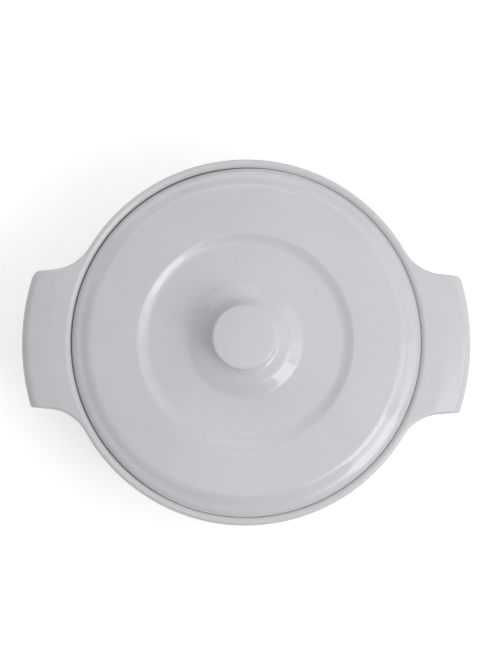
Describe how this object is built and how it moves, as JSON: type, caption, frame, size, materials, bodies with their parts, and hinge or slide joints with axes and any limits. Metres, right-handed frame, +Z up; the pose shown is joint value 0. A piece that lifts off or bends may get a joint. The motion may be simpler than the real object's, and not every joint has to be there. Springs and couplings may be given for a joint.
{
  "type": "cocotte",
  "caption": "Round ceramic oven pot with side lugs and a lid that lies in a seat inside the rim, lifted by a waisted knob on a raised foot.",
  "frame": {"origin": "centre of the foot ring's underside, on the table", "axes": "+Z up along the knob, +X through the lugs"},
  "size_m": [0.27, 0.22, 0.1084],
  "materials": {
    "pot_glaze": "glossy pale glaze, bare clay on the foot ring",
    "lid_glaze": "glossy pale glaze"
  },
  "bodies": {
    "root": {"pot": "pot_glaze", "lid": "lid_glaze"}
  },
  "joints": []
}
